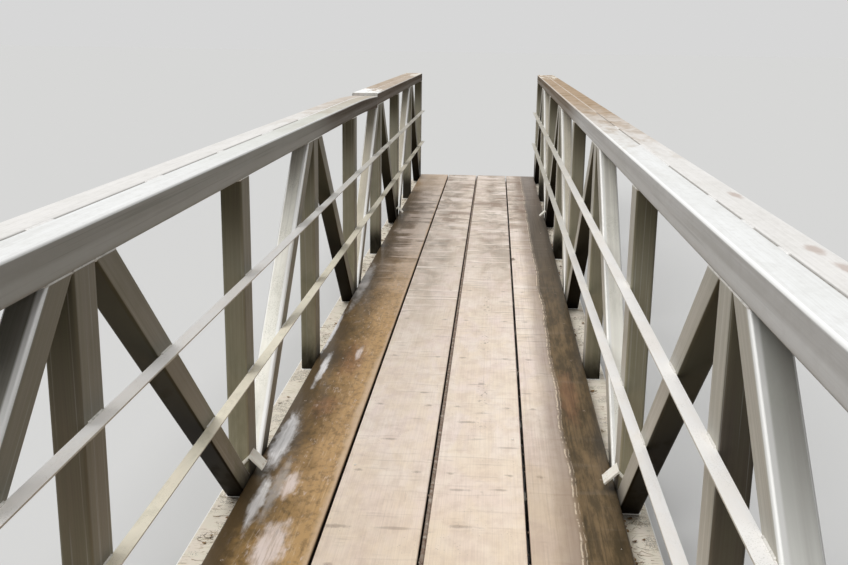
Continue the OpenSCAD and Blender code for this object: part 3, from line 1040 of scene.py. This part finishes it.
def drop(y):
    """How far the left chord's near length has sagged at y."""
    past = y - SAG_FROM
    if past <= 0 or y > JOINT_Y:
        return 0.0
    return SAG_RADIUS - math.sqrt(SAG_RADIUS**2 - past**2)


# Operators


class FOOTBRIDGE_OT_stage(bpy.types.Operator):
    """Floor, soft light and the camera at the eye height of someone who steps onto the bridge"""

    bl_idname = "footbridge.stage"
    bl_label = "Stage"
    bl_options = {"REGISTER", "UNDO"}

    FLOOR_SIZE, FLOOR_Z = 120, -0.001
    # The floor's colour, and the world's strength, for rays that only light the bridge
    FLOOR_LIGHTING = tone(92, 92, 90)
    WORLD_LIGHTING, WORLD_SEEN = 0.20, 0.68
    LAMP_STRENGTH = 3.05
    # Angles in degrees, the lens in millimetres, the camera's place in metres
    LAMP_WIDTH, LAMP_TURN = 75, (4, -17, 0)
    PITCH, YAW, ROLL = 13.51, -3.816, 0.814
    LENS, SENSOR = 43.10, 36
    CAMERA = (0.1631, -5.42, 1.518)

    def execute(self, context):
        self.add_floor(context.scene.footbridge_colours)
        self.add_light(context.scene)
        self.add_camera(context.scene)
        return {"FINISHED"}

    def add_floor(self, colours):
        bm = bmesh.new()
        bmesh.ops.create_grid(bm, x_segments=1, y_segments=1, size=self.FLOOR_SIZE)
        bmesh.ops.translate(bm, vec=(0, 0, self.FLOOR_Z), verts=bm.verts)
        floor = add_object("floor", to_shape(bm, "floor"))
        material = bpy.data.materials.new("Studio floor")
        material.use_nodes = True
        tree = material.node_tree
        colour = blend(self.seen_ray(tree), self.FLOOR_LIGHTING, colours.floor)
        inputs = {"Base Color": colour, "Roughness": 0.9, "Specular IOR Level": 0.0}
        feed(tree.nodes["Principled BSDF"], inputs)
        floor.data.materials.append(material)

    def seen_ray(self, tree):
        """1 for the rays that show a background: from the camera, off a glossy surface or through glass."""
        path = add("LightPath", {}, tree)
        return largest(largest(path["Is Camera Ray"], path["Is Glossy Ray"]), path["Is Transmission Ray"])

    def add_light(self, scene):
        world = bpy.data.worlds.new("Studio")
        scene.world = world
        world.use_nodes = True
        tree = world.node_tree
        strength = between(self.seen_ray(tree), self.WORLD_LIGHTING, self.WORLD_SEEN)
        feed(tree.nodes["Background"], {"Color": (1, 1, 1, 1), "Strength": strength})
        lamp = bpy.data.lights.new("overhead", "SUN")
        lamp.energy = self.LAMP_STRENGTH
        lamp.angle = math.radians(self.LAMP_WIDTH)
        add_object("overhead", lamp).rotation_euler = [math.radians(angle) for angle in self.LAMP_TURN]

    def add_camera(self, scene):
        data = bpy.data.cameras.new("camera")
        data.sensor_fit = "HORIZONTAL"
        data.sensor_width = self.SENSOR
        data.lens = self.LENS
        data.clip_start = 0.05
        pitch, yaw, roll = (math.radians(angle) for angle in (self.PITCH, self.YAW, self.ROLL))
        ahead = Vector((math.sin(yaw) * math.cos(pitch), math.cos(yaw) * math.cos(pitch), -math.sin(pitch)))
        level = Vector((math.cos(yaw), -math.sin(yaw), 0))
        upright = level.cross(ahead)
        right = level * math.cos(roll) + upright * math.sin(roll)
        up = upright * math.cos(roll) - level * math.sin(roll)
        turned = Matrix((right, up, -ahead)).transposed().to_4x4()
        camera = add_object("camera", data)
        camera.matrix_world = at(*self.CAMERA) @ turned
        scene.camera = camera
        scene.view_settings.view_transform = "Standard"


class FOOTBRIDGE_OT_finishes(bpy.types.Operator):
    """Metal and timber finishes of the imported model's nodes"""

    bl_idname = "footbridge.finishes"
    bl_label = "Finishes"
    bl_options = {"REGISTER", "UNDO"}

    def paint(self, name, material):
        if name not in nodes:
            raise RuntimeError(f"the packed model has no {name}")
        nodes[name].data.materials.clear()
        nodes[name].data.materials.append(material)

    def execute(self, context):
        colours = context.scene.footbridge_colours
        self.paint_chords(colours)
        self.paint_members(colours)
        self.paint_rails(colours)
        self.paint_deck(colours)
        return {"FINISHED"}

    def paint_chords(self, colours):
        # The inner faces' tones are painted shade: darker than the tops, and darker on the left than on the
        # right. The far ones are browner with stain too.
        side = (tone(190, 191, 187), tone(108, 98, 90), -1.4, -0.6)
        near = chord_finish("Left chord, near", colours, side, (-1.7, 0.4, 0.5), dull=0.9)
        self.paint("left_top_chord_near", near)
        side = (tone(124, 108, 98), tone(120, 106, 94), 0.0, 1.0)
        stain = (JOINT_Y - 0.3, JOINT_Y + 0.6, 0.78)
        far = chord_finish("Left chord, far", colours, side, stain, bright_from=JOINT_Y)
        self.paint("left_top_chord_far", far)
        side = (tone(214, 214, 213), tone(130, 114, 96), -0.7, 0.7)
        right = chord_finish("Right chord", colours, side, (-2.8, 0.5, 1.0), smudges=CHORD_SMUDGES)
        self.paint("right_top_chord", right)

    def paint_members(self, colours):
        # Lit and shaded copies of one finish: the upper faces are painted lighter than the sides as painted
        # light, and the left side's tones are painted darker than the right's as painted shade
        further = (colours.pale_and_lit, tone(216, 208, 190))
        lit = {
            "left": (tone(128, 126, 117), tone(186, 190, 178), *further),
            "right": (tone(186, 186, 180), tone(252, 252, 246), *further),
        }
        looks = {
            "left": (tone(156, 151, 139), tone(132, 122, 106), lit["left"]),
            "right": (tone(198, 194, 184), tone(98, 90, 82), lit["right"]),
        }
        # Strength of the painted highlight along the rising diagonals' edges, stronger on the left
        rub = {"left": 0.95, "right": 0.65}
        for side in SIDES:
            post = member_finish(f"{side} post", colours, 0.0, *looks[side])
            rising = member_finish(f"{side} rising diagonal", colours, RISING_LEAN, *looks[side], rub[side])
            falling = member_finish(f"{side} falling diagonal", colours, -FALLING_LEAN, *looks[side], 0.4)
            for i in range(PANELS + 1):
                self.paint(f"{side}_post_{i}", post)
            for i in range(1, PANELS + 1):
                self.paint(f"{side}_diagonal_{i}", rising if i % 2 else falling)

    def paint_rails(self, colours):
        paler_tone = rail_finish("Left rub rail", colours, colours.rail, tone(222, 218, 207), 0.15)
        right = rail_finish("Right rub rail", colours, colours.rail, tone(198, 195, 184), 0.25)
        creamy = rail_finish("Lower left rub rail", colours, colours.rail_low, tone(204, 198, 182), 0.4)
        self.paint("left_upper_rub_rail", paler_tone)
        self.paint("left_lower_rub_rail", creamy)
        for level in LEVELS:
            self.paint(f"right_{level}_rub_rail", right)

    def paint_deck(self, colours):
        bottom = bottom_finish(colours)
        angle = angle_finish(colours)
        beam = beam_finish(colours)
        for side in SIDES:
            self.paint(f"{side}_bottom_chord", bottom)
            self.paint(f"{side}_bearing_plates", bottom)
            self.paint(f"{side}_corner_angles", angle)
        for name in ("post_floor_beams", "middle_floor_beams"):
            self.paint(name, beam)
        self.paint("deck_plank_1", left_plank_finish(colours))
        left = dry_plank_finish("Left inner plank", colours, (5.3, 1.9, 0.0), 1, -1.8)
        self.paint("deck_plank_2", left)
        right = dry_plank_finish("Right inner plank", colours, (9.1, 4.7, 0.0), 2, -1.2, track=True)
        self.paint("deck_plank_3", right)
        self.paint("deck_plank_4", right_plank_finish(colours))


class FOOTBRIDGE_OT_member_welds(bpy.types.Operator):
    """Weld beads around the ends of every post and diagonal, and at the corner angles"""

    bl_idname = "footbridge.member_welds"
    bl_label = "Member welds"
    bl_options = {"REGISTER", "UNDO"}

    def execute(self, context):
        sizes, colours = context.scene.footbridge_sizes, context.scene.footbridge_colours
        weld = bare_metal_finish("Weld", colours, colours.weld)
        inner, outer = sizes.bead_r, POST_W
        post = self.loop(level_loop(inner, outer, -POST_L / 2, POST_L / 2, sizes.ripple), sizes, 1)
        rising = self.loop(level_loop(inner, outer, 0, RISING_SPAN, sizes.ripple), sizes, 2)
        falling_head = self.loop(level_loop(inner, outer, 0, FALLING_SPAN, sizes.ripple), sizes, 3)
        corners = [(inner, 0, 0), (inner, -TOE_L, 0), (outer, -TOE_L, 0), (outer, 0, 0)]
        corners += [(outer, 0, TOE_RISE), (inner, 0, TOE_RISE)]
        toe = self.loop(rounded_path(corners, CORNER_R, sizes.ripple), sizes, 4)
        for side, sign in SIDES.items():
            bm = bmesh.new()
            for y in POST_Y:
                for z in (BEAM_TOP, WEB_TOP):
                    stamp(bm, post, at(IN_X, y, z))
            for i in range(1, PANELS + 1):
                if i % 2:
                    foot, foot_y, head = rising, diagonal_span(i, BEAM_TOP)[0], rising
                else:
                    foot, foot_y, head = toe, POST_Y[i] - POST_L / 2, falling_head
                stamp(bm, foot, at(IN_X, foot_y, BEAM_TOP))
                stamp(bm, head, at(IN_X, diagonal_span(i, WEB_TOP)[0], WEB_TOP))
            for face in (POST_Y[2] - POST_L / 2, POST_Y[PANELS - 2] - POST_L / 2):
                for bead in self.angle_beads(face, sizes):
                    stamp(bm, bead, Matrix.Identity(4))
            mirror_to(bm, sign)
            make_piece(bm, f"{side}_member_welds", weld)
        return {"FINISHED"}

    def loop(self, path, sizes, seed):
        return bead_mesh(path, sizes.bead_r, True, seed)

    def angle_beads(self, face, sizes):
        """Two short beads that hold a corner angle: along the post's inner face, and down its near face."""
        proud, under = 0.002, ANGLE_TOP - 0.014
        side, front = IN_X - proud, face - proud
        ends = [
            ((side, face + 0.006, under), (side, face + 0.056, under)),
            ((IN_X + 0.004, front, under), (IN_X + 0.022, front, under - 0.018)),
        ]
        return [bead_mesh(straight_path(*pair, sizes.ripple), sizes.rail_bead_r, False, 5) for pair in ends]


class FOOTBRIDGE_OT_rail_welds(bpy.types.Operator):
    """Short welds that hold the rub rails to the posts and diagonals"""

    bl_idname = "footbridge.rail_welds"
    bl_label = "Rail welds"
    bl_options = {"REGISTER", "UNDO"}

    def execute(self, context):
        sizes, colours = context.scene.footbridge_sizes, context.scene.footbridge_colours
        weld = bare_metal_finish("Rail weld", colours, colours.weld)
        half = sizes.rail_weld_l / 2
        path = straight_path((0, -half, 0), (0, half, 0), sizes.ripple)
        bead = bead_mesh(path, sizes.rail_bead_r, False, 3)
        for side, sign in SIDES.items():
            bm = bmesh.new()
            for level in LEVELS:
                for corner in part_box(f"right_{level}_rub_rail"):
                    for y0, y1 in member_spans(corner.z):
                        stamp(bm, bead, at(IN_X, (y0 + y1) / 2, corner.z))
            mirror_to(bm, sign)
            make_piece(bm, f"{side}_rail_welds", weld)
        return {"FINISHED"}


class FOOTBRIDGE_OT_seam_welds(bpy.types.Operator):
    """Stitch welds that join the two tubes of each handrail chord, above and below"""

    bl_idname = "footbridge.seam_welds"
    bl_label = "Seam welds"
    bl_options = {"REGISTER", "UNDO"}

    # Where a stitch starts and ends along the bridge, in metres
    STITCHES = {
        "left": [(-4.86, -4.79), (-4.32, -4.22), (-3.706, -3.598), (-3.078, -2.962), (-2.44, -2.383),
                 (-1.846, -1.683), (-1.174, JOINT_Y - 0.008), (JOINT_Y + 0.012, END_Y - 0.012)],
        "right": [(-4.86, -4.80), (-4.40, -4.31), (-3.736, -3.677), (-3.496, -3.407), (-3.163, -3.082),
                  (-2.519, -1.94), (-1.30, -1.18), (-0.36, END_Y - 0.012)],
    }

    # Where the stain starts to brown the stitches
    STAINED_FROM = {"left": 2.6, "right": 0.0}
    # Stretches of seam that hold dirt
    DIRTY = {"left": [(-END_Y + 0.01, NEAR_LENGTH_END - 0.004), (JOINT_Y + 0.004, END_Y - 0.01)],
             "right": [(-END_Y + 0.01, END_Y - 0.01)]}
    STITCH_STEP = 0.012
    DIRT_STEPS = 300
    # How far a stitch stays inside the chord's faces
    INSIDE = 0.0002
    DIRT_R, DIRT_DEEP, DIRT_WIDER = 0.0025, 0.0048, 1.3

    def execute(self, context):
        sizes, colours = context.scene.footbridge_sizes, context.scene.footbridge_colours
        half_h = sizes.seam_h / 2
        wide = stretch(sizes.seam_w / sizes.seam_h, 1, 1)
        for side, sign in SIDES.items():
            weld = seam_weld_finish(f"{side} seam weld", colours, self.STAINED_FROM[side])
            bm = bmesh.new()
            for k, (y0, y1) in enumerate(self.STITCHES[side]):
                path = self.seam_path(side, y0, y1, max(3, round((y1 - y0) / self.STITCH_STEP)))
                bead = bead_mesh(path, half_h, False, k, 10, 0.93)
                for z in (CHORD_TOP - half_h - self.INSIDE, WEB_TOP + half_h + self.INSIDE):
                    stamp(bm, bead, at(sign * SEAM_X, 0, z) @ wide)
            make_piece(bm, f"{side}_seam_welds", weld)
        self.add_seam_dirt(colours)
        return {"FINISHED"}

    def seam_path(self, side, y0, y1, pieces):
        """Points along a seam, which follow the left chord's sag."""
        ys = [y0 + (y1 - y0) * n / pieces for n in range(pieces + 1)]
        return [(0, y, -drop(y) if side == "left" else 0.0) for y in ys]

    def add_seam_dirt(self, colours):
        """Dirt that lies deep in the seam where it isn't welded."""
        dirt = bare_metal_finish("Seam dirt", colours, SEAM_DIRT, 0.0, 0.4)
        wide = stretch(self.DIRT_WIDER, 1, 1)
        for side, sign in SIDES.items():
            bm = bmesh.new()
            for k, (y0, y1) in enumerate(self.DIRTY[side]):
                path = self.seam_path(side, y0, y1, self.DIRT_STEPS)
                bead = bead_mesh(path, self.DIRT_R, False, k, 8, 0.92)
                stamp(bm, bead, at(sign * SEAM_X, 0, CHORD_TOP - self.DIRT_DEEP) @ wide)
            make_piece(bm, f"{side}_seam_dirt", dirt)


class FOOTBRIDGE_OT_screws(bpy.types.Operator):
    """Deck screws, two in each plank just past every floor beam's middle"""

    bl_idname = "footbridge.screws"
    bl_label = "Deck screws"
    bl_options = {"REGISTER", "UNDO"}

    # A head's height and how deep its middle is dished, and how far it sits in the plank, in metres
    HEAD_H, DISH, SUNK = 0.0016, 0.0007, 0.0004

    def execute(self, context):
        sizes, colours = context.scene.footbridge_sizes, context.scene.footbridge_colours
        chance = random.Random(17)
        tarnish = bare_metal_finish("Deck screw", colours, colours.screw, 0.1, 0.35)
        head = bmesh.new()
        radius = sizes.screw_r
        bmesh.ops.create_cone(
            head, cap_ends=True, segments=12, radius1=radius, radius2=radius * 0.8, depth=self.HEAD_H
        )
        top = max(head.faces, key=lambda f: f.calc_center_median().z)
        dished = bmesh.ops.inset_region(head, faces=[top], thickness=radius * 0.35, depth=-self.DISH)
        if not dished["faces"]:
            raise RuntimeError("the screw head was not dished")
        shape = to_shape(head, "screw head")
        bm = bmesh.new()
        rows = POST_Y + [y + PANEL_L / 2 for y in POST_Y[:-1]]
        for left, right in PLANK_X:
            for x in (left + SCREW_INSET, right - SCREW_INSET):
                for y in rows:
                    aside, along = chance.uniform(-0.006, 0.006), chance.uniform(-0.008, 0.008)
                    stamp(bm, shape, at(x + aside, y + SCREW_PAST + along, DECK_Z - self.SUNK))
        make_piece(bm, "deck_screws", tarnish, smooth=False)
        return {"FINISHED"}


class FOOTBRIDGE_OT_litter(bpy.types.Operator):
    """Needles, stems and leaves on the bottom chords, dirt in the gaps and pebbles on the deck"""

    bl_idname = "footbridge.litter"
    bl_label = "Litter"
    bl_options = {"REGISTER", "UNDO"}

    # Radius that a crumb has before it is stretched, in metres
    CRUMB_R = 0.0038
    # Without a seed, Blender takes the clock's, and the crumbs come out different each run
    CRUMB_SEED = 41
    # How far litter stays from the chords' ends
    FROM_END = 0.05
    # Where the pebbles and chips lie on the deck, in metres
    PEBBLES = [(-0.257, -2.367), (-0.018, -1.107), (0.145, 3.051), (0.190, 1.276), (0.258, -2.10),
               (0.31, 0.35)]

    def execute(self, context):
        sizes, colours = context.scene.footbridge_sizes, context.scene.footbridge_colours
        chance = random.Random(41)
        self.add_fallen(sizes, colours, chance)
        self.add_packed_dirt(sizes, colours, chance)
        self.add_pebbles(sizes, colours, chance)
        return {"FINISHED"}

    def add_fallen(self, sizes, colours, chance):
        """Needles, stems, leaves and crumbs on the bottom chords, most of them in heaps."""
        dirt = litter_finish("Litter", colours.litter, colours.litter_dark, colours.bottom)
        stem, leaf = self.stem_shape(sizes.needle_l), self.leaf_shape(sizes.leaf_l)
        crumb = self.crumb_shape()
        spans = member_spans(BEAM_TOP)
        heaps = [y + chance.uniform(-0.18, 0.0) for y in POST_Y]
        heaps += [chance.uniform(-END_Y, END_Y) for _ in range(22)]
        for side, sign in SIDES.items():
            bm = bmesh.new()
            for shape, count, lift in ((stem, sizes.needles, 0.0012), (leaf, sizes.leaves, 0.002)):
                made = 0
                while made < count:
                    heaped = chance.random() < 0.7
                    y = chance.gauss(chance.choice(heaps), 0.07) if heaped else chance.uniform(-END_Y, END_Y)
                    x = chance.uniform(IN_X + 0.012, BOTTOM_OUT - 0.02)
                    if abs(y) > END_Y - self.FROM_END:
                        continue
                    if any(y0 - 0.03 < y < y1 + 0.03 for y0, y1 in spans) and x < IN_X + POST_W + 0.01:
                        continue
                    made += 1
                    turn = Matrix.Rotation(chance.gauss(0.25, 0.6), 4, "Z")
                    tilt = Matrix.Rotation(chance.uniform(-0.05, 0.05), 4, "Y")
                    size = Matrix.Scale(chance.uniform(0.35, 1.1), 4)
                    place = at(sign * x, y, BEAM_TOP + lift + chance.uniform(0, 0.002))
                    stamp(bm, shape, place @ (turn @ tilt) @ size)
            for y in heaps:
                for _ in range(7):
                    where = y + chance.gauss(0, 0.06)
                    hidden = any(y0 - 0.01 < where < y1 + 0.01 for y0, y1 in spans)
                    if hidden or abs(where) > END_Y - self.FROM_END:
                        continue
                    size = self.any_stretch(chance, (0.8, 2.0), (1.0, 3.0), (0.6, 1.2))
                    turn = self.any_turn(chance)
                    x = sign * (IN_X + chance.uniform(0.004, 0.016))
                    stamp(bm, crumb, at(x, where, BEAM_TOP + 0.001) @ size @ turn)
            make_piece(bm, f"{side}_litter", dirt)

    def any_stretch(self, chance, *limits):
        return stretch(*[chance.uniform(*pair) for pair in limits])

    def any_turn(self, chance):
        return Matrix.Rotation(chance.uniform(0, 6.2), 4, "Z")

    def add_packed_dirt(self, sizes, colours, chance):
        """Dirt packed in the right part of the middle gap, crumbs on it and a few in the next gap."""
        dirt = litter_finish("Packed dirt", colours.packed_dirt, colours.timber_dark, colours.timber_grey)
        crumb = self.crumb_shape()
        bm = bmesh.new()
        middle = (PLANK_X[1][1], PLANK_X[2][0])
        wide = (middle[1] - middle[0]) * 0.70
        ys = [-END_Y + 0.01 + (2 * END_Y - 0.02) * n / 900 for n in range(901)]
        path = [(0, y, -0.003 + 0.0015 * noise.noise(Vector((0.3, y * 60, 0.1)))) for y in ys]
        rope_r = 0.004
        rope = bead_mesh(path, rope_r, False, 5, 8, 0.86)
        stamp(bm, rope, at(middle[1] - wide / 2, 0, DECK_Z - 0.003) @ stretch(wide / (2 * rope_r), 1, 1))
        next_gap = (PLANK_X[2][1], PLANK_X[3][0])
        for k in range(sizes.crumbs):
            in_middle = k % 4 > 0
            x = chance.uniform(*((middle[1] - wide, middle[1] - 0.001) if in_middle else next_gap))
            y = chance.uniform(-END_Y + 0.1, END_Y - 0.1)
            turn = self.any_turn(chance)
            size = self.any_stretch(chance, (0.3, 0.9), (0.6, 2.4), (0.4, 0.9))
            deep = chance.uniform(0.002, 0.005) if in_middle else chance.uniform(0.006, 0.014)
            stamp(bm, crumb, at(x, y, DECK_Z - deep) @ size @ turn)
        make_piece(bm, "deck_dirt", dirt)

    def add_pebbles(self, sizes, colours, chance):
        bm = bmesh.new()
        pale = litter_finish("Pebbles", colours.pebble, colours.timber, colours.pebble)
        crumb = self.crumb_shape()
        places = self.PEBBLES + [(chance.uniform(-0.55, 0.55), chance.uniform(-4.8, 4.8)) for _ in range(26)]
        for k, (x, y) in enumerate(places):
            if any(abs(x - edge) < 0.008 for pair in PLANK_X for edge in pair):
                continue
            part = 1.0 if k < len(self.PEBBLES) else chance.uniform(0.25, 0.6)
            big = sizes.pebble_r / self.CRUMB_R * part
            size = stretch(big * chance.uniform(0.7, 1.3), big * chance.uniform(0.7, 1.3), big * 0.6)
            stamp(bm, crumb, at(x, y, DECK_Z + 0.0012) @ size @ self.any_turn(chance))
        make_piece(bm, "deck_pebbles", pale)

    def stem_shape(self, length):
        """A thin stem across the bridge, bent a little."""
        bm = bmesh.new()
        bmesh.ops.create_cone(bm, cap_ends=True, segments=4, radius1=0.0010, radius2=0.0005, depth=length)
        long_edges = [e for e in bm.edges if abs(e.verts[0].co.z - e.verts[1].co.z) > length / 2]
        bmesh.ops.subdivide_edges(bm, edges=long_edges, cuts=2)
        for v in bm.verts:
            v.co.x += 0.0035 * math.cos(v.co.z / length * math.pi)
        bmesh.ops.rotate(bm, matrix=Matrix.Rotation(math.radians(90), 3, "Y"), verts=bm.verts)
        return to_shape(bm, "stem")

    def leaf_shape(self, length):
        """A small curled leaf."""
        bm = bmesh.new()
        bmesh.ops.create_grid(bm, x_segments=4, y_segments=2, size=length / 2)
        for v in bm.verts:
            along = v.co.x / (length / 2)
            v.co.y *= 0.62 * math.sqrt(max(0.02, 1 - along * along))
            v.co.z = 0.12 * abs(v.co.y) + 0.0035 * along * along
        bmesh.ops.solidify(bm, geom=bm.faces, thickness=0.0005)
        bmesh.ops.recalc_face_normals(bm, faces=bm.faces)
        return to_shape(bm, "leaf")

    def crumb_shape(self):
        """A lumpy crumb."""
        bm = bmesh.new()
        noise.seed_set(self.CRUMB_SEED)
        bmesh.ops.create_icosphere(bm, subdivisions=1, radius=self.CRUMB_R)
        for v in bm.verts:
            v.co += noise.noise_vector(v.co * 300) * 0.0011
        return to_shape(bm, "crumb")


class FOOTBRIDGE_PT_panel(bpy.types.Panel):
    """Lists the steps that make the footbridge's looks"""

    bl_label = "Footbridge"
    bl_idname = "FOOTBRIDGE_PT_panel"
    bl_space_type = "VIEW_3D"
    bl_region_type = "UI"
    bl_category = "Footbridge"

    def draw(self, context):
        for step_class in STEPS:
            self.layout.operator(step_class.bl_idname)
        for group in (context.scene.footbridge_sizes, context.scene.footbridge_colours):
            for key in group.__annotations__:
                self.layout.prop(group, key)


STEPS = (
    FOOTBRIDGE_OT_stage,
    FOOTBRIDGE_OT_finishes,
    FOOTBRIDGE_OT_member_welds,
    FOOTBRIDGE_OT_rail_welds,
    FOOTBRIDGE_OT_seam_welds,
    FOOTBRIDGE_OT_screws,
    FOOTBRIDGE_OT_litter,
)
CLASSES = (FootbridgeSizes, FootbridgeColours, *STEPS, FOOTBRIDGE_PT_panel)


def register():
    for cls in CLASSES:
        bpy.utils.register_class(cls)
    bpy.types.Scene.footbridge_sizes = PointerProperty(type=FootbridgeSizes)
    bpy.types.Scene.footbridge_colours = PointerProperty(type=FootbridgeColours)


def unregister():
    del bpy.types.Scene.footbridge_colours
    del bpy.types.Scene.footbridge_sizes
    for cls in reversed(CLASSES):
        bpy.utils.unregister_class(cls)


def main():
    register()
    for step_class in STEPS:
        category, action = step_class.bl_idname.split(".")
        getattr(getattr(bpy.ops, category), action)()


if __name__ == "__main__":
    main()
